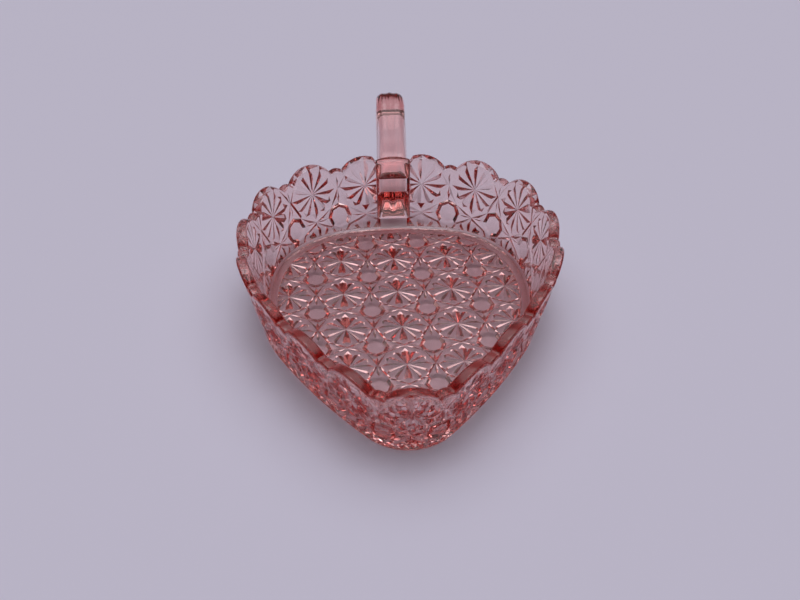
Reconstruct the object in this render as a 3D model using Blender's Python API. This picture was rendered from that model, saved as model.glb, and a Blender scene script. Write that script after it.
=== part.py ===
"""Handled candy dish in pressed glass: a shield-shaped bowl with a scalloped,
flared wall, and a strap handle that loops out from the middle of the broad end.

Metres, +Z up. The origin is on the table plane, near the middle of the base.
+Y runs along the mirror axis to the handle, -Y to the rounded tip.
"""
import math

import bmesh
import bpy
from mathutils import Vector

MM = 0.001

# --- outline of the outer wall, taken at the height of the rim's valleys -------
# The half outline is a chain of tangent arcs, clockwise from the middle of the
# broad end to the tip. The tip's radius follows from closing on the mirror axis.
BACK_Y = 61.2 * MM
ARCS = ((122.4 * MM, 9.64), (46.0 * MM, 64.03), (70.9 * MM, 45.83), (215.9 * MM, 14.32))

# --- bowl ----------------------------------------------------------------------
FLARE = math.radians(13.4)        # wall's lean from the vertical
VALLEY_Z = 28.4 * MM              # rim height between two scallops
SCALLOPS = 17                     # round scallops, one plain tab over the handle
PATTERN_V = 24.8 * MM             # pattern's pitch up the wall
SCALLOP_R = 0.50                  # scallop radius, in pitches
VALLEY_UP = 0.30                  # valley above a scallop's centre, in pitches
BEAD_HALF = 0.11                  # half width of the bead in a valley, in pitches
BEAD_LOW, BEAD_HIGH = 0.010, 0.045
TAB_HALF = 0.30                   # half width of the plain tab, in pitches
TAB_LOW, TAB_HIGH = 0.41, 0.46
WALL = 4.2 * MM                   # wall thickness, measured level
FLOOR = 5.0 * MM                  # floor thickness
INNER_FILLET = 6.0 * MM           # between the inner wall and the floor
FOOT_ROUND = 1.1 * MM
RIM_ROUND = 0.9 * MM

# --- handle ----------------------------------------------------------------------
GAP = 0.3 * MM                    # between the handle's ends and the wall
STRAP_THICK = 6.0 * MM
STRAP_WIDE = 12.2 * MM            # at both roots
STRAP_TOP = 11.4 * MM             # over the arch
STRAP_ROUND = 2.4 * MM
# the strap's centre line in the mirror plane, (y, z), from upper to lower root
STRAP_LINE = tuple((y * MM, z * MM) for y, z in (
    (65.5, 29.4), (70.4, 34.8), (76.0, 40.1), (82.4, 43.8), (88.9, 42.9),
    (93.0, 38.1), (93.1, 31.4), (89.5, 24.5), (82.3, 18.3), (73.4, 14.4), (64.9, 12.5)))
UPPER_ROOT_Z = 26.2 * MM
LOWER_ROOT_Z = 11.8 * MM
UPPER_FLARE = 0.6 * MM            # thicker where the strap leaves the wall
LOWER_FLARE = 6.4 * MM            # and much thicker where it comes back to it
# the arch is thicker than the rest: where along the line, how far to both sides, how much
ARCH_AT, ARCH_REACH, ARCH_FLARE = 4.8, 3.2, 2.5 * MM

STEPS_PER_SCALLOP = (-0.5, -0.39, -0.30, -0.18, -0.06, 0.06, 0.18, 0.30, 0.39)


def clear_scene():
    for ob in list(bpy.data.objects):
        bpy.data.objects.remove(ob, do_unlink=True)


def half_arcs():
    """The four given arcs and the tip arc that closes them on the mirror axis."""
    arcs = [(r, math.radians(a)) for r, a in ARCS]
    left = math.pi - sum(a for _, a in arcs)

    def end_x(tip_r):
        x, heading = 0.0, 0.0
        for r, a in arcs + [(tip_r, left)]:
            x += r * (math.sin(heading + a) - math.sin(heading))
            heading += a
        return x

    x1, x2 = end_x(0.02), end_x(0.03)
    return arcs + [(0.02 - x1 * 0.01 / (x2 - x1), left)]


HALF = half_arcs()
HALF_LENGTH = sum(r * a for r, a in HALF)
PITCH = 2.0 * HALF_LENGTH / SCALLOPS


def outline(s):
    """Point and outward normal at arc length s, left of the handle for s > 0."""
    length = 2.0 * HALF_LENGTH
    s = (s + HALF_LENGTH) % length - HALF_LENGTH
    side, rest = (-1.0 if s > 0 else 1.0), abs(s)
    x, y, heading = 0.0, BACK_Y, 0.0
    for index, (r, a) in enumerate(HALF):
        turn = a if index < len(HALF) - 1 and rest > r * a else rest / r
        turn = min(turn, a)
        new = heading + turn
        x += r * (math.sin(new) - math.sin(heading))
        y += r * (math.cos(new) - math.cos(heading))
        heading = new
        rest -= r * a
        if rest <= 0:
            break
    return Vector((side * x, y)), Vector((side * math.sin(heading), math.cos(heading)))


def rim_rise(u):
    """Rim height above the valleys, along the wall, at u scallop pitches."""
    last = SCALLOPS / 2.0
    u = (u + last) % SCALLOPS - last
    if abs(u) <= TAB_HALF:
        part = u / TAB_HALF
        return (TAB_LOW + (TAB_HIGH - TAB_LOW) * (1 - part * part) - VALLEY_UP) * PATTERN_V
    off = abs(u) % 1.0 - 0.5
    if abs(off) > 0.5 - BEAD_HALF + 1e-6:
        part = (0.5 - abs(off)) / BEAD_HALF
        return (BEAD_LOW + (BEAD_HIGH - BEAD_LOW) * (1 - part * part)) * PATTERN_V
    return (math.sqrt(max(SCALLOP_R ** 2 - off * off, 0.0)) - VALLEY_UP) * PATTERN_V


def stations():
    found = []
    for k in range(SCALLOPS):
        for step in STEPS_PER_SCALLOP:
            u = k + 0.5 + step
            if min(u, SCALLOPS - u) > TAB_HALF + 0.02:
                found.append(u)
    found += [v % SCALLOPS for v in (-TAB_HALF, -0.15, 0.0, 0.15, TAB_HALF)]
    return sorted(set(round(v, 6) for v in found))


def wall_offset(z):
    """Outward shift of the outer wall from the reference outline, at height z."""
    return (z - VALLEY_Z) * math.tan(FLARE)


def bowl_section(u):
    """Profile at one station, from the base's edge up, over the rim, down to the floor:
    pairs of level offset from the reference outline and height."""
    top = VALLEY_Z + rim_rise(u) * math.cos(FLARE)
    pts = [(wall_offset(0) - FOOT_ROUND, 0.0), (wall_offset(0) - 0.3 * FOOT_ROUND, 0.3 * FOOT_ROUND),
           (wall_offset(FOOT_ROUND), FOOT_ROUND)]
    pts += [(wall_offset(top - RIM_ROUND), top - RIM_ROUND),
            (wall_offset(top) - 0.3 * RIM_ROUND, top - 0.3 * RIM_ROUND),
            (wall_offset(top) - RIM_ROUND, top)]
    pts += [(wall_offset(top) - WALL + RIM_ROUND, top),
            (wall_offset(top) - WALL + 0.3 * RIM_ROUND, top - 0.3 * RIM_ROUND),
            (wall_offset(top - RIM_ROUND) - WALL, top - RIM_ROUND)]
    # fillet tangent to the inner wall and to the floor
    turn = math.pi / 2 - FLARE
    reach = INNER_FILLET * math.tan(turn / 2)
    corner = wall_offset(FLOOR) - WALL
    cx, cz = corner - reach, FLOOR + INNER_FILLET
    for k in range(5):
        a = turn * (1 - k / 4)
        pts.append((cx + INNER_FILLET * math.sin(a), cz - INNER_FILLET * math.cos(a)))
    return pts


def loft(name, rings, material, collection):
    """One closed solid through equal rings of points, the first and last ring capped."""
    bm = bmesh.new()
    rows = [[bm.verts.new(p) for p in ring] for ring in rings]
    count = len(rows[0])
    for a, b in zip(rows, rows[1:]):
        for i in range(count):
            j = (i + 1) % count
            bm.faces.new((a[i], a[j], b[j], b[i]))
    bm.faces.new(list(reversed(rows[0])))
    bm.faces.new(rows[-1])
    bmesh.ops.triangulate(bm, faces=[f for f in bm.faces if len(f.verts) > 4])
    bmesh.ops.recalc_face_normals(bm, faces=bm.faces)
    mesh = bpy.data.meshes.new(name)
    bm.to_mesh(mesh)
    bm.free()
    mesh.materials.append(material)
    mesh.shade_smooth()
    mesh.set_sharp_from_angle(angle=math.radians(32))
    ob = bpy.data.objects.new(name, mesh)
    collection.objects.link(ob)
    return ob


def make_bowl(material, collection):
    around = [(u, *outline(u * PITCH)) for u in stations()]
    sections = [bowl_section(u) for u, _, _ in around]
    rings = []
    for row in range(len(sections[0])):
        ring = []
        for (_, point, normal), section in zip(around, sections):
            off, z = section[row]
            flat = point + normal * off
            ring.append((flat.x, flat.y, z))
        rings.append(ring)
    return loft("bowl", rings, material, collection)


def spline(points, t):
    """Catmull-Rom through points, t from 0 to len(points) - 1."""
    k = min(int(t), len(points) - 2)
    f = t - k
    p1, p2 = Vector(points[k]), Vector(points[k + 1])
    p0 = Vector(points[k - 1]) if k > 0 else 2 * p1 - p2
    p3 = Vector(points[k + 2]) if k + 2 < len(points) else 2 * p2 - p1
    return 0.5 * ((2 * p1) + (p2 - p0) * f + (2 * p0 - 5 * p1 + 4 * p2 - p3) * f * f
                  + (3 * p1 - p0 - 3 * p2 + p3) * f ** 3)


def strap_section(wide, thick, root):
    """Rounded rectangle across the strap: (x, n) pairs, counter-clockwise. root runs from
    0 along the strap to 1 at its ends, where the corners are sharper."""
    pts = []
    r = min(STRAP_ROUND, 0.45 * thick) * (1.0 - 0.5 * root)
    for cx, cn, start in ((1, 1, 0), (-1, 1, 90), (-1, -1, 180), (1, -1, 270)):
        for k in range(4):
            a = math.radians(start + 30 * k)
            pts.append((cx * (wide / 2 - r) + r * math.cos(a), cn * (thick / 2 - r) + r * math.sin(a)))
    return pts


def back_wall_y(z):
    return BACK_Y + wall_offset(z)


def make_handle(material, collection):
    upper = (back_wall_y(UPPER_ROOT_Z) + GAP / math.cos(FLARE), UPPER_ROOT_Z)
    lower = (back_wall_y(LOWER_ROOT_Z) + GAP / math.cos(FLARE), LOWER_ROOT_Z)
    line = (upper,) + STRAP_LINE + (lower,)
    lean = Vector((math.sin(FLARE), math.cos(FLARE)))     # up the wall, in (y, z)
    steps, rings = 52, []
    last = len(line) - 1
    for k in range(steps + 1):
        t = last * k / steps
        here = spline(line, t)
        ahead, behind = spline(line, min(t + 0.6, last)), spline(line, max(t - 0.6, 0.0))
        tangent = (ahead - behind).normalized()
        normal = Vector((-tangent.y, tangent.x))
        # both end faces lie flat on the leaning wall
        for end, sign in ((0.0, 1.0), (float(last), -1.0)):
            near = max(0.0, 1.0 - abs(t - end) / 0.75)
            if near > 0.0:
                normal = (normal.lerp(lean * sign, near)).normalized()
        middle = math.sin(math.pi * min(max((t - 0.6) / (last - 1.6), 0.0), 1.0)) ** 0.6
        wide = STRAP_WIDE + (STRAP_TOP - STRAP_WIDE) * middle
        root = max(0.0, 1.0 - min(t, last - t) / 0.9) ** 2
        foot = max(0.0, 1.0 - (last - t) / 1.3) ** 2
        arch = ARCH_FLARE * math.cos(math.pi / 2 * min(abs(t - ARCH_AT) / ARCH_REACH, 1.0)) ** 2
        thick = STRAP_THICK + UPPER_FLARE * max(0.0, 1.0 - t / 0.9) ** 2 + LOWER_FLARE * foot + arch
        here = here - normal * arch / 2          # the arch thickens inwards only
        ring = [(x, here.x + n * normal.x, here.y + n * normal.y)
                for x, n in strap_section(wide + 0.8 * MM * root, thick, root)]
        rings.append(ring)
    return loft("handle", rings, material, collection)


def pink_glass(name, colour, roughness):
    material = bpy.data.materials.new(name)
    material.use_nodes = True
    shader = next(n for n in material.node_tree.nodes if n.type == "BSDF_PRINCIPLED")
    shader.inputs["Base Color"].default_value = (*colour, 1.0)
    shader.inputs["Roughness"].default_value = roughness
    shader.inputs["Metallic"].default_value = 0.0
    shader.inputs["IOR"].default_value = 1.52
    shader.inputs["Transmission Weight"].default_value = 1.0
    material.diffuse_color = (*colour, 0.5)
    return material


def main():
    clear_scene()
    parts = bpy.data.collections.new("depression_glass_candy_dish")
    bpy.context.scene.collection.children.link(parts)
    make_bowl(pink_glass("bowl_glass", (0.86, 0.52, 0.53), 0.03), parts)
    make_handle(pink_glass("handle_glass", (0.84, 0.48, 0.50), 0.02), parts)


main()
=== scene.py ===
"""Looks of the handled candy dish in pressed pink glass: daisy-and-button relief, flared
scalloped wall, patterned floor and strap handle, on a plain pale table."""

import math

import bmesh
import bpy
import numpy as np
from mathutils import Matrix, Vector
from mathutils.geometry import delaunay_2d_cdt


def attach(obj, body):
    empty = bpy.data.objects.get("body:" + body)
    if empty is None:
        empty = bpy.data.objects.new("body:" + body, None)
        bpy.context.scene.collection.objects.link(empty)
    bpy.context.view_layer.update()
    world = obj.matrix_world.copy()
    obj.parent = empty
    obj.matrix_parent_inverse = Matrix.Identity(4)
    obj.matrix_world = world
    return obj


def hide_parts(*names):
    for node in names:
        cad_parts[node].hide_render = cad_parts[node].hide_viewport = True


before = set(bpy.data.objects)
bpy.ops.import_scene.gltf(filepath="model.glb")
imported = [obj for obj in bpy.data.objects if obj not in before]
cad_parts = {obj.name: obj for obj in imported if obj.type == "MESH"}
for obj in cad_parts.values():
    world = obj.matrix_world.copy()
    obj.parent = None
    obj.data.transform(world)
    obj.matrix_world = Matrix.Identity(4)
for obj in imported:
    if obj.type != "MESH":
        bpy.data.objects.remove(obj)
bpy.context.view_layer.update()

MM = 0.001

# --- the CAD's driving dimensions, in mm -----------------------------------------
BACK_Y = 61.2
ARCS = ((122.4, 9.64), (46.0, 64.03), (70.9, 45.83), (215.9, 14.32))
FLARE = math.radians(13.4)
VALLEY_Z = 28.4
SCALLOPS = 17
PATTERN_V = 24.8
SCALLOP_R = 0.50
VALLEY_UP = 0.30
BEAD_HALF, BEAD_LOW, BEAD_HIGH = 0.11, 0.010, 0.045
TAB_HALF, TAB_LOW, TAB_HIGH = 0.30, 0.41, 0.46
WALL, FLOOR = 4.2, 5.0
INNER_FILLET, FOOT_ROUND, RIM_ROUND = 6.0, 1.1, 0.9

STRAP_THICK, STRAP_WIDE, STRAP_TOP, STRAP_ROUND = 6.0, 12.2, 11.4, 2.4
STRAP_LINE = ((65.5, 29.4), (70.4, 34.8), (76.0, 40.1), (82.4, 43.8), (88.9, 42.9),
              (93.0, 38.1), (93.1, 31.4), (89.5, 24.5), (82.3, 18.3), (73.4, 14.4), (64.9, 12.5))
UPPER_ROOT_Z, LOWER_ROOT_Z = 26.2, 11.8
UPPER_FLARE, LOWER_FLARE = 0.6, 6.4
ARCH_AT, ARCH_REACH, ARCH_FLARE = 4.8, 3.2, 2.5
FLUTE, DOME = 0.3, 1.1
JOIN = 0.02                       # hairline between the handle's ends and the wall
FUSED = "fused"                   # marks the hidden faces where handle and wall are one glass

# --- relief, lengths in pitches and depths in mm ----------------------------------
RAY_M = 0.345                     # where the daisy's V cuts begin to run out
RAY_HALF = 0.069
RAY_TIP_TOP = 0.43               # tip of the rays that point at the rim
DIAG = 0.33                       # diagonal corner of the daisy's octagon
EDGE_IN = 0.045                   # inner half width of the cut round the octagon
DART_HALF = 0.026
RING_OUT, RING_LOW, RING_TOP = 0.240, 0.222, 0.165
WALL_DEPTHS = dict(ray=0.98, edge=0.52, dart=0.52, ring=1.40)
FLOOR_DEPTHS = dict(ray=0.95, edge=0.60, dart=0.51, ring=1.43)
PATTERN_FOOT = -0.812             # lower end of the wall's pattern
STRIP_LOW, STRIP_TOP = 0.293, 0.243
STRIP_DEPTH = 1.0

# --- floor pattern ----------------------------------------------------------------
FLOOR_ORIGIN = (-0.489, 9.9)
FLOOR_PITCH = 21.0
FLOOR_TURN = math.radians(1.83)
FIELD_INSET = 6.0                 # from the base's edge to the patterned field
FIELD_UP = 0.35                   # the field stands this far off the table


# ==================================================================================
# outline and wall, as in the CAD
# ==================================================================================
def half_arcs():
    arcs = [(r, math.radians(a)) for r, a in ARCS]
    left = math.pi - sum(a for _, a in arcs)

    def end_x(tip_r):
        x, heading = 0.0, 0.0
        for r, a in arcs + [(tip_r, left)]:
            x += r * (math.sin(heading + a) - math.sin(heading))
            heading += a
        return x

    x1, x2 = end_x(20.0), end_x(30.0)
    return arcs + [(20.0 - x1 * 10.0 / (x2 - x1), left)]


HALF = half_arcs()
HALF_LENGTH = sum(r * a for r, a in HALF)
PITCH = 2.0 * HALF_LENGTH / SCALLOPS


def outline(s):
    """Point and outward normal at arc length s (mm), left of the handle for s > 0."""
    length = 2.0 * HALF_LENGTH
    s = (s + HALF_LENGTH) % length - HALF_LENGTH
    side, rest = (-1.0 if s > 0 else 1.0), abs(s)
    x, y, heading = 0.0, BACK_Y, 0.0
    for index, (r, a) in enumerate(HALF):
        turn = a if index < len(HALF) - 1 and rest > r * a else rest / r
        turn = min(turn, a)
        new = heading + turn
        x += r * (math.sin(new) - math.sin(heading))
        y += r * (math.cos(new) - math.cos(heading))
        heading = new
        rest -= r * a
        if rest <= 0:
            break
    return side * x, y, side * math.sin(heading), math.cos(heading)


def rim_w(u):
    """Height of the rim's top at u pitches, in pattern pitches above the daisies' centres."""
    last = SCALLOPS / 2.0
    u = (u + last) % SCALLOPS - last
    if abs(u) <= TAB_HALF + 1e-9:
        part = u / TAB_HALF
        return TAB_LOW + (TAB_HIGH - TAB_LOW) * (1 - part * part)
    off = abs(u) % 1.0 - 0.5
    if abs(off) > 0.5 - BEAD_HALF + 1e-6:
        part = (0.5 - abs(off)) / BEAD_HALF
        return VALLEY_UP + BEAD_LOW + (BEAD_HIGH - BEAD_LOW) * (1 - part * part)
    return math.sqrt(max(SCALLOP_R ** 2 - off * off, 0.0))


def wall_offset(z):
    return (z - VALLEY_Z) * math.tan(FLARE)


def height(w):
    return VALLEY_Z + (w - VALLEY_UP) * PATTERN_V * math.cos(FLARE)


def wall_point(u, w, depth):
    """A point of the outer wall, depth mm below its skin."""
    z = height(w)
    x, y, nx, ny = outline(u * PITCH)
    off = wall_offset(z) - depth * math.cos(FLARE)
    return (x + nx * off, y + ny * off, z + depth * math.sin(FLARE))


# ==================================================================================
# the unit cell: a daisy in the middle, stars at the sides, buttons at the corners
# ==================================================================================
def polar(r, degrees, side=0.0):
    a = math.radians(degrees)
    return (r * math.cos(a) - side * math.sin(a), r * math.sin(a) + side * math.cos(a))


def cell_parts(depths):
    """Triangles of one eighth of a cell, 0 <= y <= x <= 1/2, and of the quarter that meets
    the rim. Corners are (x, y, depth). A daisy is twelve V cuts that cross in its middle,
    as deep there as at their ends, so the ridges between them rise outwards. A V cut runs
    round it from star point S to the button's corner C."""
    ray, edge, dart, ring = (depths[k] for k in ("ray", "edge", "dart", "ring"))
    O, S, C = (0.0, 0.0, ray), (0.5, 0.0, edge), (DIAG, DIAG, edge)
    size = math.hypot(0.5 - DIAG, DIAG)
    nx, ny = DIAG / size, (0.5 - DIAG) / size              # outward across the side SC
    Si = (0.5 - EDGE_IN / nx, 0.0, 0.0)
    ci = DIAG - EDGE_IN / (nx + ny)
    Ci = (ci, ci, 0.0)
    reach = (0.5 * nx - EDGE_IN) / (nx * math.cos(math.pi / 6) + ny * math.sin(math.pi / 6))
    t30 = (*polar(reach, 30), 0.0)
    ridge = RAY_HALF / math.sin(math.radians(15))
    w15, w45, w75 = ((*polar(ridge, a), 0.0) for a in (15, 45, 75))
    low = lambda a: (*polar(RAY_M, a), ray)
    left = lambda a: (*polar(RAY_M, a, RAY_HALF), 0.0)
    right = lambda a: (*polar(RAY_M, a, -RAY_HALF), 0.0)
    fm, f, B = (0.5, 0.15, dart), (0.5 - DART_HALF, 0.15, 0.0), (0.5, 0.5 - RING_OUT, 0.0)
    q = math.sqrt(0.5)
    cb, bb = (0.5 - RING_LOW * q, 0.5 - RING_LOW * q, ring), (0.5, 0.5 - RING_LOW, ring)
    ct, bt = (0.5 - RING_TOP * q, 0.5 - RING_TOP * q, 0.0), (0.5, 0.5 - RING_TOP, 0.0)
    G = (0.5, 0.5, 0.0)

    def cut(a, before, after, tip):
        """Both sides of the V cut at a degrees, with its run-out to the tip."""
        return [(O, before, right(a)), (O, right(a), low(a)), (right(a), tip, low(a)),
                (O, low(a), left(a)), (O, left(a), after), (low(a), tip, left(a))]

    rays = [(O, low(0), left(0)), (O, left(0), w15), (low(0), Si, left(0)),
            (w15, left(0), right(30)), (left(0), Si, right(30)), (Si, t30, right(30))]
    rays += cut(30, w15, w45, t30)
    eighth = rays + [
        (w45, left(30), Ci), (left(30), t30, Ci), (Si, S, t30), (S, C, t30), (C, Ci, t30),
        (S, fm, f), (fm, B, f), (S, f, C), (f, B, C),
        (C, B, bb), (C, bb, cb), (cb, bb, bt), (cb, bt, ct), (ct, bt, G)]
    t60, t90 = (*polar(RAY_TIP_TOP, 60), 0.0), (0.0, RAY_TIP_TOP, 0.0)
    m90, r90 = (0.0, RAY_M, ray), (RAY_HALF, RAY_M, 0.0)
    um, uf, ut = (0.5, 0.12, dart), (0.5 - DART_HALF, 0.12, 0.0), (0.5, 0.20, 0.0)
    end = (DIAG, DIAG, 0.0)                                # the side's cut runs out under the rim
    rim_quarter = rays + cut(60, w45, w75, t60) + [
        (Si, S, t30), (S, end, t30), (end, Ci, t30), (S, uf, end),
        (w45, left(30), right(60)), (left(30), t30, Ci), (left(30), Ci, right(60)),
        (Ci, end, right(60)), (end, t60, right(60)),
        (w75, left(60), r90), (left(60), t60, r90), (t60, t90, r90),
        (O, w75, r90), (O, r90, m90), (r90, t90, m90),
        (S, um, uf), (um, ut, uf)]
    return eighth, rim_quarter


def lookup(triangles):
    """A function giving the depth at (x, y), zero outside the triangles."""
    tri = np.array(triangles, float)
    a, b, c = tri[:, 0], tri[:, 1], tri[:, 2]
    det = (b[:, 0] - a[:, 0]) * (c[:, 1] - a[:, 1]) - (c[:, 0] - a[:, 0]) * (b[:, 1] - a[:, 1])
    keep = np.abs(det) > 1e-12
    a, b, c, det = a[keep], b[keep], c[keep], det[keep]

    def depth(x, y):
        px, py = x - a[:, 0], y - a[:, 1]
        s = (px * (c[:, 1] - a[:, 1]) - (c[:, 0] - a[:, 0]) * py) / det
        t = ((b[:, 0] - a[:, 0]) * py - px * (b[:, 1] - a[:, 1])) / det
        worst = np.minimum(np.minimum(s, t), 1 - s - t)
        k = int(np.argmax(worst))
        if worst[k] < -2e-4:
            return 0.0
        return float(max(0.0, a[k, 2] + s[k] * (b[k, 2] - a[k, 2]) + t[k] * (c[k, 2] - a[k, 2])))

    return depth


class Pattern:
    def __init__(self, depths):
        self.eighth, self.rim_quarter = cell_parts(depths)
        self.plain, self.rim = lookup(self.eighth), lookup(self.rim_quarter)

    def depth(self, x, y, at_rim=False):
        """Depth at (x, y) from a daisy's centre. at_rim: the cell's upper half is a scallop."""
        if at_rim and y > 0:
            return self.rim(abs(x), y)
        x, y = abs(x), abs(y)
        return self.plain(max(x, y), min(x, y))

    def segments(self, upper_rim=False):
        """Every edge of the cell as ((x, y), (x, y)), once."""
        found = set()

        def add(p, q):
            p, q = tuple(round(v, 6) + 0.0 for v in p), tuple(round(v, 6) + 0.0 for v in q)
            if p != q:
                found.add((min(p, q), max(p, q)))

        def tour(triangles, maps):
            for t in triangles:
                for k in range(3):
                    for m in maps:
                        add(m(t[k]), m(t[(k + 1) % 3]))

        signs = [(sx, sy) for sx in (1, -1) for sy in (1, -1) if not (upper_rim and sy > 0)]
        maps = [lambda p, sx=sx, sy=sy: (sx * p[0], sy * p[1]) for sx, sy in signs]
        maps += [lambda p, sx=sx, sy=sy: (sx * p[1], sy * p[0]) for sx, sy in signs]
        tour(self.eighth, maps)
        if upper_rim:
            tour(self.rim_quarter, [lambda p, sx=sx: (sx * p[0], p[1]) for sx in (1, -1)])
        return sorted(found)


class Plan:
    """Points and edges in a plane, cut into triangles by a constrained triangulation."""

    def __init__(self, grid=2e-6):
        self.grid, self.index, self.points, self.edges = grid, {}, [], set()

    def point(self, x, y):
        key = (round(x / self.grid), round(y / self.grid))
        if key not in self.index:
            self.index[key] = len(self.points)
            self.points.append((x, y))
        return self.index[key]

    def edge(self, p, q):
        a, b = self.point(*p), self.point(*q)
        if a != b:
            self.edges.add((min(a, b), max(a, b)))

    def chain(self, pts, closed=False):
        for p, q in zip(pts, pts[1:] + (pts[:1] if closed else [])):
            self.edge(p, q)

    def triangles(self, inside, epsilon=1e-6):
        verts, _, faces, _, _, _ = delaunay_2d_cdt(
            [Vector(p) for p in self.points], sorted(self.edges), [], 0, epsilon)
        verts = [(v.x, v.y) for v in verts]
        kept = []
        for f in faces:
            cx, cy = sum(verts[i][0] for i in f) / 3, sum(verts[i][1] for i in f) / 3
            if inside(cx, cy):
                kept.append(tuple(f))
        return verts, kept


def in_polygon(poly):
    px, py = np.array([p[0] for p in poly]), np.array([p[1] for p in poly])
    qx, qy = np.roll(px, -1), np.roll(py, -1)

    def inside(x, y):
        cross = (py > y) != (qy > y)
        with np.errstate(divide="ignore", invalid="ignore"):
            at = px + (y - py) * (qx - px) / (qy - py)
        return bool(np.count_nonzero(cross & (x < at)) % 2)

    return inside


def clip_segment(p, q, a, b, c):
    """The part of pq where a x + b y >= c, or None."""
    fp, fq = a * p[0] + b * p[1] - c, a * q[0] + b * q[1] - c
    if fp < 0 and fq < 0:
        return None
    if fp >= 0 and fq >= 0:
        return p, q
    t = fp / (fp - fq)
    m = (p[0] + t * (q[0] - p[0]), p[1] + t * (q[1] - p[1]))
    return (p, m) if fp >= 0 else (m, q)


# ==================================================================================
# handle: centre line and cross section
# ==================================================================================
def spline(points, t):
    k = min(int(t), len(points) - 2)
    f = t - k
    p1, p2 = Vector(points[k]), Vector(points[k + 1])
    p0 = Vector(points[k - 1]) if k > 0 else 2 * p1 - p2
    p3 = Vector(points[k + 2]) if k + 2 < len(points) else 2 * p2 - p1
    return 0.5 * ((2 * p1) + (p2 - p0) * f + (2 * p0 - 5 * p1 + 4 * p2 - p3) * f * f
                  + (3 * p1 - p0 - 3 * p2 + p3) * f ** 3)


def strap_section(wide, thick, flute, root):
    """Across the strap: (x, n) pairs, counter-clockwise from the right side. The outer face
    (n > 0) holds two shallow flutes with a fine seam between them."""
    r = min(STRAP_ROUND, 0.45 * thick) * (1.0 - 0.5 * root)
    pts = []
    for cx, cn, start in ((1, 1, 0), (-1, 1, 90), (-1, -1, 180), (1, -1, 270)):
        for k in range(5):
            a = math.radians(start + 22.5 * k)
            pts.append((cx * (wide / 2 - r) + r * math.cos(a), cn * (thick / 2 - r) + r * math.sin(a)))
        if cn == 1 and cx == 1:      # along the outer face, right to left
            half = wide / 2 - r
            for k in range(1, 16):
                x = half * (1 - k / 8)
                part = abs(x) / half
                dip = flute * math.sin(math.pi * min(max((part - 0.06) / 0.88, 0.0), 1.0)) ** 1.2
                pts.append((x, thick / 2 - dip + (0.10 * flute if k == 8 else 0.0)))
        if cn == -1 and cx == -1:    # along the inner face, left to right
            half = wide / 2 - r
            for k in range(1, 8):
                pts.append((-half * (1 - k / 4), -thick / 2))
    dome = DOME * flute / FLUTE      # the outer face is domed as well
    return [(x, n - dome * (2 * x / wide) ** 2 * max(0.0, 2 * n / thick)) for x, n in pts]


def strap_rings():
    """Rings of (x, y, z) in mm from the upper root to the lower root, ends not yet closed."""
    lean = Vector((math.sin(FLARE), math.cos(FLARE)))
    off = JOIN / math.cos(FLARE)
    upper = (BACK_Y + wall_offset(UPPER_ROOT_Z) + off, UPPER_ROOT_Z)
    lower = (BACK_Y + wall_offset(LOWER_ROOT_Z) + off, LOWER_ROOT_Z)
    line = (upper,) + STRAP_LINE + (lower,)
    steps, rings = 132, []
    last = len(line) - 1
    for k in range(steps + 1):
        t = last * k / steps
        here = spline(line, t)
        ahead, behind = spline(line, min(t + 0.6, last)), spline(line, max(t - 0.6, 0.0))
        tangent = (ahead - behind).normalized()
        normal = Vector((-tangent.y, tangent.x))
        for end, sign in ((0.0, 1.0), (float(last), -1.0)):
            near = max(0.0, 1.0 - abs(t - end) / 0.75)
            if near > 0.0:
                normal = (normal.lerp(lean * sign, near)).normalized()
        middle = math.sin(math.pi * min(max((t - 0.6) / (last - 1.6), 0.0), 1.0)) ** 0.6
        wide = STRAP_WIDE + (STRAP_TOP - STRAP_WIDE) * middle
        root = max(0.0, 1.0 - min(t, last - t) / 0.9) ** 2
        foot = max(0.0, 1.0 - (last - t) / 1.3) ** 2
        arch = ARCH_FLARE * math.cos(math.pi / 2 * min(abs(t - ARCH_AT) / ARCH_REACH, 1.0)) ** 2
        thick = STRAP_THICK + UPPER_FLARE * max(0.0, 1.0 - t / 0.9) ** 2 + LOWER_FLARE * foot + arch
        here = here - normal * arch / 2          # the arch thickens inwards only
        flute = FLUTE * min(1.0, max(0.0, (t - 1.0) / 1.5), max(0.0, (last - 0.2 - t) / 1.0))
        rings.append([(x, here.x + n * normal.x, here.y + n * normal.y)
                      for x, n in strap_section(wide + 0.8 * root, thick, flute, root)])
    return rings


def root_outline(ring):
    """A root's ring as (u, w) on the unrolled wall."""
    pts = []
    for x, y, z in ring:
        w = (z - VALLEY_Z) / (PATTERN_V * math.cos(FLARE)) + VALLEY_UP
        u = -x / PITCH
        for _ in range(4):           # the u whose wall point has this x
            u += (wall_point(u, w, 0.0)[0] - x) / PITCH
        pts.append((u, w))
    return pts


# ==================================================================================
# meshes
# ==================================================================================
def new_object(name, bm, materials):
    mesh = bpy.data.meshes.new(name)
    bm.to_mesh(mesh)
    bm.free()
    for m in materials:
        mesh.materials.append(m)
    ob = bpy.data.objects.new(name, mesh)
    bpy.context.scene.collection.objects.link(ob)
    return ob


def boundary_loops(faces):
    """Loops of vertex indices round a set of triangles, in their winding."""
    edges = {}
    for f in faces:
        for k in range(len(f)):
            edges[(f[k], f[(k + 1) % len(f)])] = True
    nxt = {a: b for a, b in edges if (b, a) not in edges}
    loops = []
    while nxt:
        start = next(iter(nxt))
        loop, here = [start], nxt.pop(start)
        while here != start:
            loop.append(here)
            here = nxt.pop(here)
        loops.append(loop)
    return loops


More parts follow.
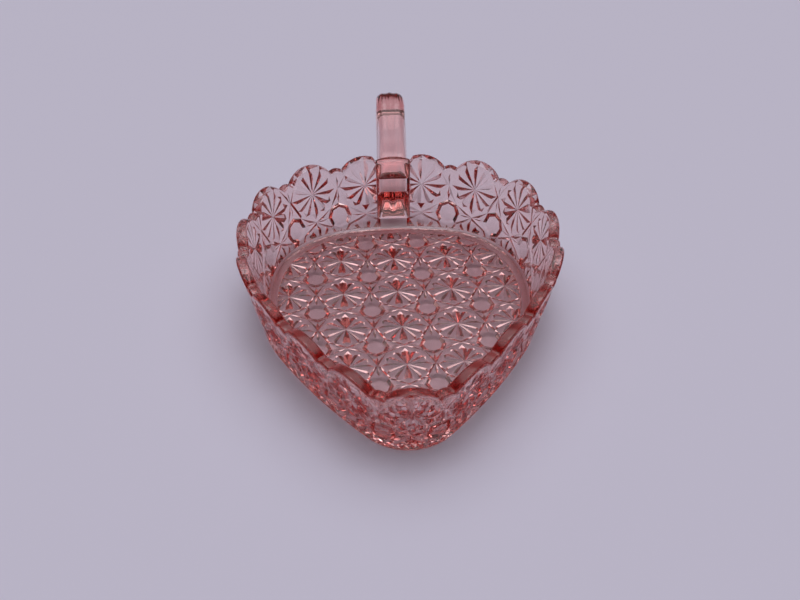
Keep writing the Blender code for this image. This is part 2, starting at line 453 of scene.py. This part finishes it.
def make_bowl(materials, root_rings):
    wall_pattern, floor_pattern = Pattern(WALL_DEPTHS), Pattern(FLOOR_DEPTHS)
    low_w = RIM_ROUND / (PATTERN_V * math.cos(FLARE))
    first, last = -(SCALLOPS + 1) // 2, (SCALLOPS - 1) // 2        # -9 .. 8

    # ---- plan of the unrolled outer wall -------------------------------------------
    plan = Plan()
    rim_us = []
    for k in range(first, last):
        steps = [-0.5, -0.4725, -0.445, -0.4175, -0.39] + [-0.36 + 0.03 * i for i in range(25)]
        rim_us += [k + 0.5 + s for s in steps + [0.39, 0.4175, 0.445, 0.4725]]
    rim_us = [u for u in rim_us if abs(u) > TAB_HALF + 0.02] + [TAB_HALF * i / 8 for i in range(-8, 9)]
    rim_us = sorted(set(round(u, 6) for u in rim_us + [float(last)]))
    top = [(u, rim_w(u) - low_w) for u in rim_us]
    foot_us = [first + (last - first) * i / 340 for i in range(341)]
    bottom = [(u, PATTERN_FOOT) for u in foot_us]
    plan.chain(top)
    plan.chain(bottom)
    border = lambda u: [(u, PATTERN_FOOT), (u, rim_w(u) - low_w)]
    plan.chain(border(float(first)))
    plan.chain(border(float(last)))
    for k in range(first, last):
        for row in (0, 1):
            for p, q in wall_pattern.segments(upper_rim=row == 0):
                seg = ((k + 0.5 + p[0], p[1] - row), (k + 0.5 + q[0], q[1] - row))
                seg = clip_segment(*seg, 0, 1, PATTERN_FOOT)
                if seg and k == 0:
                    seg = clip_segment(*seg, 1, 0, TAB_HALF)
                if seg and k == -1:
                    seg = clip_segment(*seg, -1, 0, TAB_HALF)
                if seg:
                    plan.edge(*seg)
    for side in (-1, 1):
        for at in (TAB_HALF, STRIP_LOW, STRIP_TOP):
            plan.edge((side * at, PATTERN_FOOT), (side * at, rim_w(at) - low_w))
    holes = [root_outline(r) for r in root_rings]
    for hole in holes:
        plan.chain(hole, closed=True)
    inside = in_polygon(bottom + top[::-1])
    verts, faces = plan.triangles(inside)
    in_hole = [in_polygon(h) for h in holes]

    def depth_at(u, w):
        if abs(u) < TAB_HALF - 1e-4:
            if abs(u) > STRIP_LOW:
                return STRIP_DEPTH
            if abs(u) > STRIP_TOP:
                return STRIP_DEPTH * (abs(u) - STRIP_TOP) / (STRIP_LOW - STRIP_TOP)
            return 0.0
        if w > rim_w(u) - low_w - 1e-4:
            return 0.0
        k = math.floor(min(max(u, first + 1e-6), last - 1e-6))
        row = 0 if w > -0.5 else 1
        return wall_pattern.depth(u - k - 0.5, w + row, at_rim=row == 0)

    bm = bmesh.new()
    fused = bm.faces.layers.float.new(FUSED)
    placed, wall_index = {}, []
    for u, w in verts:
        d = depth_at(u, w)
        p = wall_point(u, w, d)
        key = tuple(round(c, 4) for c in p)
        if key not in placed:
            placed[key] = bm.verts.new(p)
        wall_index.append(placed[key])

    def face(vs, smooth=False, joined=False):
        unique = []
        for v in vs:
            if v not in unique:
                unique.append(v)
        if len(unique) < 3:
            return None
        try:
            f = bm.faces.new(unique)
        except ValueError:
            return None
        f.smooth = True
        if not smooth:
            for e in f.edges:
                e.smooth = False
        if joined:
            f[fused] = 1.0
        return f

    for f in faces:
        cu = sum(verts[i][0] for i in f) / 3
        cw = sum(verts[i][1] for i in f) / 3
        face([wall_index[i] for i in f], joined=any(h(cu, cw) for h in in_hole))

    # ---- rim, inner wall and inner floor: rings on the top chain's stations ----------
    near = lambda a, b: abs(a - b) < 1e-5
    used = sorted(set(i for f in faces for i in f), key=lambda i: verts[i][0])
    top_line = {round(u, 5): w for u, w in top}

    def on_top(u, w):
        k = int(np.searchsorted(rim_us, u))
        k = min(max(k, 1), len(rim_us) - 1)
        (u0, w0), (u1, w1) = top[k - 1], top[k]
        return abs(w0 + (w1 - w0) * (u - u0) / (u1 - u0) - w) < 3e-5

    top_chain = [i for i in used if on_top(*verts[i])]
    foot_chain = [i for i in used if abs(verts[i][1] - PATTERN_FOOT) < 1e-5]
    drop = lambda chain: [i for i in chain if verts[i][0] < last - 1e-5]   # its twin is at the other border
    top_chain, foot_chain = drop(top_chain), drop(foot_chain)

    def section_rings(chain, profile):
        """Rings of new vertices; profile(z) gives (offset, z) pairs for a station at height z."""
        columns = []
        for i in chain:
            u, w = verts[i]
            x, y, nx, ny = outline(u * PITCH)
            columns.append([bm.verts.new((x + nx * off, y + ny * off, z)) for off, z in profile(height(w))])
        return [list(r) for r in zip(*columns)]

    def band(lower, upper, smooth=True, flip=False):
        n = len(lower)
        for i in range(n):
            j = (i + 1) % n
            vs = [lower[i], lower[j], upper[j], upper[i]]
            face(vs[::-1] if flip else vs, smooth)

    turn = math.pi / 2 - FLARE
    reach = INNER_FILLET * math.tan(turn / 2)

    def rim_profile(z):
        t, r = z + RIM_ROUND, RIM_ROUND
        out, inn = wall_offset(z), wall_offset(z) - WALL
        pts = [(out - r * (1 - math.cos(a)), z + r * math.sin(a)) for a in (math.radians(d) for d in (22.5, 45, 67.5, 90))]
        pts += [(inn + r * (1 - math.cos(a)), z + r * math.sin(a)) for a in (math.radians(d) for d in (90, 67.5, 45, 22.5, 0))]
        corner = wall_offset(FLOOR) - WALL
        cx, cz = corner - reach, FLOOR + INNER_FILLET
        joins = cz - INNER_FILLET * math.cos(turn)
        for k in range(1, 6):
            zz = z + (joins - z) * k / 6
            pts.append((wall_offset(zz) - WALL, zz))
        for k in range(11):
            a = turn * (1 - k / 10)
            pts.append((cx + INNER_FILLET * math.sin(a), cz - INNER_FILLET * math.cos(a)))
        pts.append((cx - 1.2, FLOOR))
        return pts

    rings = section_rings(top_chain, rim_profile)
    here = [wall_index[i] for i in top_chain]
    for k, ring in enumerate(rings):
        band(here, ring, flip=True)
        here = ring
    cap = face(here)
    if cap is not None:
        bmesh.ops.triangulate(bm, faces=[cap])

    # ---- foot and underside ---------------------------------------------------------
    foot = section_rings(foot_chain, lambda z: [
        (wall_offset(FOOT_ROUND), FOOT_ROUND),
        (wall_offset(0) - 0.08 * FOOT_ROUND, 0.60 * FOOT_ROUND),
        (wall_offset(0) - 0.30 * FOOT_ROUND, 0.28 * FOOT_ROUND),
        (wall_offset(0) - 0.62 * FOOT_ROUND, 0.07 * FOOT_ROUND),
        (wall_offset(0) - FOOT_ROUND, 0.0)])
    here = [wall_index[i] for i in foot_chain]
    for k, ring in enumerate(foot):
        band(ring, here, smooth=k > 0, flip=True)
        here = ring
    base_ring = here
    base_u = [verts[i][0] for i in foot_chain]

    field_off = wall_offset(0) - FIELD_INSET
    samples = 300
    edge_us = [first + SCALLOPS * i / samples for i in range(samples)]

    def inset(u, off):
        x, y, nx, ny = outline(u * PITCH)
        return x + nx * off, y + ny * off

    # work in the floor pattern's own axes, in pitches
    ca, sa = math.cos(FLOOR_TURN), math.sin(FLOOR_TURN)
    to_cell = lambda x, y: (((x - FLOOR_ORIGIN[0]) * ca + (y - FLOOR_ORIGIN[1]) * sa) / FLOOR_PITCH,
                            (-(x - FLOOR_ORIGIN[0]) * sa + (y - FLOOR_ORIGIN[1]) * ca) / FLOOR_PITCH)
    from_cell = lambda a, b: (FLOOR_ORIGIN[0] + (a * ca - b * sa) * FLOOR_PITCH,
                              FLOOR_ORIGIN[1] + (a * sa + b * ca) * FLOOR_PITCH)
    edge_cells = [to_cell(*inset(u, field_off)) for u in edge_us]
    plan = Plan()
    plan.chain(edge_cells, closed=True)
    in_field = in_polygon(edge_cells)
    segs = floor_pattern.segments()
    for i in range(-4, 5):
        for j in range(-6, 4):
            near_field = any(abs(a - i) < 0.52 and abs(b - j) < 0.52 for a, b in edge_cells) or in_field(i, j)
            if near_field:
                for p, q in segs:
                    plan.edge((i + p[0], j + p[1]), (i + q[0], j + q[1]))
    verts2, faces2 = plan.triangles(in_field)
    made = {}
    for i in sorted(set(i for f in faces2 for i in f)):
        a, b = verts2[i]
        d = floor_pattern.depth(a - round(a), b - round(b))
        x, y = from_cell(a, b)
        made[i] = bm.verts.new((x, y, FIELD_UP + d))
    for f in faces2:
        face([made[i] for i in reversed(f)])
    loop = max(boundary_loops(faces2), key=len)

    def station(a, b):
        """u of a point on the field's edge."""
        best, found = 1e9, 0.0
        for k in range(samples):
            (x0, y0), (x1, y1) = edge_cells[k], edge_cells[(k + 1) % samples]
            dx, dy = x1 - x0, y1 - y0
            t = min(max(((a - x0) * dx + (b - y0) * dy) / (dx * dx + dy * dy), 0.0), 1.0)
            gap = (x0 + dx * t - a) ** 2 + (y0 + dy * t - b) ** 2
            if gap < best - 1e-14:
                best, found = gap, first + SCALLOPS * (k + t) / samples
        return found

    rim_of_field = sorted(((station(*verts2[i]) - first) % SCALLOPS + first, i) for i in loop)
    step_ring = []
    for u, i in rim_of_field:
        x, y = inset(u, field_off + 0.5)
        step_ring.append(bm.verts.new((x, y, 0.0)))
    n = len(step_ring)
    for k in range(n):
        j = (k + 1) % n
        face([made[rim_of_field[k][1]], made[rim_of_field[j][1]], step_ring[j], step_ring[k]])
    # flat foot between the two closed chains, merged by station
    a_u, b_u = [u for u, _ in rim_of_field], base_u
    i = j = 0
    while i < len(a_u) or j < len(b_u):
        ua = a_u[i + 1] if i + 1 < len(a_u) else a_u[0] + SCALLOPS
        ub = b_u[j + 1] if j + 1 < len(b_u) else b_u[0] + SCALLOPS
        p, q = step_ring[i % len(a_u)], base_ring[j % len(b_u)]
        if (ua <= ub and i < len(a_u)) or j >= len(b_u):
            face([p, q, step_ring[(i + 1) % len(a_u)]])
            i += 1
        else:
            face([p, q, base_ring[(j + 1) % len(b_u)]])
            j += 1
    bmesh.ops.remove_doubles(bm, verts=bm.verts, dist=2e-5)
    bmesh.ops.delete(bm, geom=[v for v in bm.verts if not v.link_faces], context="VERTS")
    bmesh.ops.recalc_face_normals(bm, faces=bm.faces)
    for v in bm.verts:
        v.co *= MM
    return new_object("pressed_bowl", bm, materials)


def make_handle(materials, rings):
    bm = bmesh.new()
    fused = bm.faces.layers.float.new(FUSED)
    lifted = []
    for k, ring in enumerate(rings):
        if k in (0, len(rings) - 1):
            # the end rings lie on the wall itself, a hairline off it
            pts = []
            for u, w in root_outline(ring):
                pts.append(wall_point(u, w, -JOIN))
            lifted.append(pts)
        else:
            lifted.append(ring)
    rows = [[bm.verts.new(p) for p in ring] for ring in lifted]
    count = len(rows[0])
    for a, b in zip(rows, rows[1:]):
        for i in range(count):
            j = (i + 1) % count
            f = bm.faces.new((a[i], a[j], b[j], b[i]))
            f.smooth = True
    caps = [bm.faces.new(list(reversed(rows[0]))), bm.faces.new(rows[-1])]
    for f in caps:
        f[fused] = 1.0
        f.smooth = True
        for e in f.edges:
            e.smooth = False
    bmesh.ops.triangulate(bm, faces=caps)
    bmesh.ops.recalc_face_normals(bm, faces=bm.faces)
    for v in bm.verts:
        v.co *= MM
    for e in bm.edges:
        if len(e.link_faces) == 2 and e.calc_face_angle() > math.radians(50):
            e.smooth = False
    return new_object("strap_handle", bm, materials)


# ==================================================================================
# materials
# ==================================================================================
def node(tree, kind, **values):
    n = tree.nodes.new(kind)
    for key, value in values.items():
        if key in n.inputs:
            n.inputs[key].default_value = value
        else:
            setattr(n, key, value)
    return n


def pink_glass(name, tint=1.0):
    """Clear pressed glass: colour from absorption inside, faint waves left by the mould,
    a slight haze that varies, and wear where the foot rubs the table."""
    m = bpy.data.materials.new(name)
    m.use_nodes = True
    t = m.node_tree
    shader = next(n for n in t.nodes if n.type == "BSDF_PRINCIPLED")
    out = next(n for n in t.nodes if n.type == "OUTPUT_MATERIAL")
    shader.inputs["Base Color"].default_value = (1.0, 0.985, 0.985, 1.0)
    shader.inputs["Transmission Weight"].default_value = 1.0
    # where handle and wall are one piece of glass, light passes straight on
    joined = node(t, "ShaderNodeAttribute", attribute_type="GEOMETRY", attribute_name=FUSED)
    ior = node(t, "ShaderNodeMapRange")
    ior.inputs["To Min"].default_value, ior.inputs["To Max"].default_value = 1.52, 1.0005
    t.links.new(joined.outputs["Fac"], ior.inputs["Value"])
    t.links.new(ior.outputs[0], shader.inputs["IOR"])
    place = node(t, "ShaderNodeNewGeometry")
    wave = node(t, "ShaderNodeTexNoise", Scale=95.0, Detail=2.0)
    fine = node(t, "ShaderNodeTexNoise", Scale=1400.0, Detail=2.0)
    t.links.new(place.outputs["Position"], wave.inputs["Vector"])
    t.links.new(place.outputs["Position"], fine.inputs["Vector"])
    mix = node(t, "ShaderNodeMath", operation="MULTIPLY_ADD")
    t.links.new(fine.outputs["Fac"], mix.inputs[0])
    mix.inputs[1].default_value = 0.012
    t.links.new(wave.outputs["Fac"], mix.inputs[2])
    bump = node(t, "ShaderNodeBump", Strength=0.10, Distance=0.0012)
    t.links.new(mix.outputs[0], bump.inputs["Height"])
    t.links.new(bump.outputs["Normal"], shader.inputs["Normal"])
    # haze and foot wear
    split = node(t, "ShaderNodeSeparateXYZ")
    t.links.new(place.outputs["Position"], split.inputs[0])
    low = node(t, "ShaderNodeMapRange")
    low.inputs["From Min"].default_value, low.inputs["From Max"].default_value = 0.0003, 0.0001
    low.inputs["To Min"].default_value, low.inputs["To Max"].default_value = 0.0, 1.0
    t.links.new(split.outputs["Z"], low.inputs["Value"])
    scuff = node(t, "ShaderNodeTexNoise", Scale=900.0, Detail=5.0)
    t.links.new(place.outputs["Position"], scuff.inputs["Vector"])
    wear = node(t, "ShaderNodeMath", operation="MULTIPLY")
    t.links.new(low.outputs[0], wear.inputs[0])
    t.links.new(scuff.outputs["Fac"], wear.inputs[1])
    rough = node(t, "ShaderNodeMath", operation="MULTIPLY_ADD")
    t.links.new(wear.outputs[0], rough.inputs[0])
    rough.inputs[1].default_value = 0.22
    haze = node(t, "ShaderNodeMapRange")
    haze.inputs["From Min"].default_value, haze.inputs["From Max"].default_value = 0.3, 0.7
    haze.inputs["To Min"].default_value, haze.inputs["To Max"].default_value = 0.0, 0.012
    t.links.new(wave.outputs["Fac"], haze.inputs["Value"])
    t.links.new(haze.outputs[0], rough.inputs[2])
    t.links.new(rough.outputs[0], shader.inputs["Roughness"])
    inside = node(t, "ShaderNodeVolumeAbsorption")
    per_m = [11.0 * tint, 54.0 * tint, 58.0 * tint]
    density = 1.25 * max(per_m)
    inside.inputs["Density"].default_value = density
    inside.inputs["Color"].default_value = (*(1 - s / density for s in per_m), 1.0)
    t.links.new(inside.outputs[0], out.inputs["Volume"])
    return m


def table_material():
    m = bpy.data.materials.new("pale_table")
    m.use_nodes = True
    t = m.node_tree
    shader = next(n for n in t.nodes if n.type == "BSDF_PRINCIPLED")
    shader.inputs["Base Color"].default_value = (0.72, 0.685, 0.80, 1.0)
    shader.inputs["Roughness"].default_value = 0.75
    shader.inputs["Specular IOR Level"].default_value = 0.2
    return m


# ==================================================================================
# build
# ==================================================================================
rings = strap_rings()
root_pair = [rings[0], rings[-1]]
bowl_mats = [pink_glass("bowl_pressed_glass")]
handle_mats = [pink_glass("handle_pressed_glass", 0.9)]
bowl = make_bowl(bowl_mats, root_pair)
handle = make_handle(handle_mats, rings)
for piece, cad, slot in ((bowl, "bowl", "bowl"), (handle, "handle", "handle")):
    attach(piece, "root")
    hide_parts(cad)

# ---- table, light and camera -----------------------------------------------------
bm = bmesh.new()
bmesh.ops.create_grid(bm, x_segments=8, y_segments=8, size=3.0)
table = new_object("table", bm, [table_material()])
table.location = (0.0, 0.0, -0.00002)

world = bpy.data.worlds.new("light_tent")
bpy.context.scene.world = world
world.use_nodes = True
wt = world.node_tree
back = next(n for n in wt.nodes if n.type == "BACKGROUND")
back.inputs["Strength"].default_value = 1.0
coord = node(wt, "ShaderNodeTexCoord")
sep = node(wt, "ShaderNodeSeparateXYZ")
wt.links.new(coord.outputs["Generated"], sep.inputs[0])


def remap(source, lo, hi, a, b):
    n = node(wt, "ShaderNodeMapRange", interpolation_type="SMOOTHSTEP")
    n.inputs["From Min"].default_value, n.inputs["From Max"].default_value = lo, hi
    n.inputs["To Min"].default_value, n.inputs["To Max"].default_value = a, b
    wt.links.new(source, n.inputs["Value"])
    return n.outputs[0]


def calc(operation, a, b):
    n = node(wt, "ShaderNodeMath", operation=operation)
    for k, v in enumerate((a, b)):
        if isinstance(v, float):
            n.inputs[k].default_value = v
        else:
            wt.links.new(v, n.inputs[k])
    return n.outputs[0]


# a light tent: pale back, dimmer sides, dark opening on the camera's side, lamp overhead
TENT_FRONT, TENT_SIDE, TENT_BACK, LAMP_WIDE, LAMP_CORE = 0.02, 0.11, 0.17, 1.92, 3.0
LAMP_AT = (0.05, 0.13, 0.985)
tent = calc("ADD", remap(sep.outputs["Y"], -0.45, 0.15, TENT_FRONT, TENT_SIDE),
            remap(sep.outputs["Y"], 0.2, 0.8, 0.0, TENT_BACK - TENT_SIDE))
facing = node(wt, "ShaderNodeVectorMath", operation="DOT_PRODUCT")
facing.inputs[1].default_value = Vector(LAMP_AT).normalized()
wt.links.new(coord.outputs["Generated"], facing.inputs[0])
lamp = calc("ADD", remap(facing.outputs["Value"], 0.66, 0.90, 0.0, LAMP_WIDE),
            remap(facing.outputs["Value"], 0.972, 0.985, 0.0, LAMP_CORE))
total = calc("ADD", tent, lamp)
tint = node(wt, "ShaderNodeMix", data_type="RGBA", blend_type="MULTIPLY")
tint.inputs["Factor"].default_value = 1.0
wt.links.new(total, tint.inputs["A"])
tint.inputs["B"].default_value = (0.70, 0.69, 0.73, 1.0)
wt.links.new(tint.outputs["Result"], back.inputs["Color"])

cam_data = bpy.data.cameras.new("camera")
cam = bpy.data.objects.new("camera", cam_data)
bpy.context.scene.collection.objects.link(cam)
bpy.context.scene.camera = cam
cam_data.sensor_width = 36.0
cam_data.lens = 52.52
cam_data.clip_start, cam_data.clip_end = 0.01, 20.0
right = Vector((0.998747, -0.0500431, -0.000269))
upward = Vector((0.0317961, 0.6304035, 0.7756162))
ahead = Vector((0.03864437, 0.77465294, -0.63120475))
cam.matrix_world = Matrix((
    (right.x, upward.x, -ahead.x, -0.01718),
    (right.y, upward.y, -ahead.y, -0.34306),
    (right.z, upward.z, -ahead.z, 0.28644),
    (0, 0, 0, 1)))

scene = bpy.context.scene
scene.view_settings.view_transform = "Standard"
scene.view_settings.look = "None"
scene.cycles.max_bounces = 24
scene.cycles.transmission_bounces = 24
scene.cycles.glossy_bounces = 16
scene.cycles.transparent_max_bounces = 16
scene.cycles.volume_bounces = 0
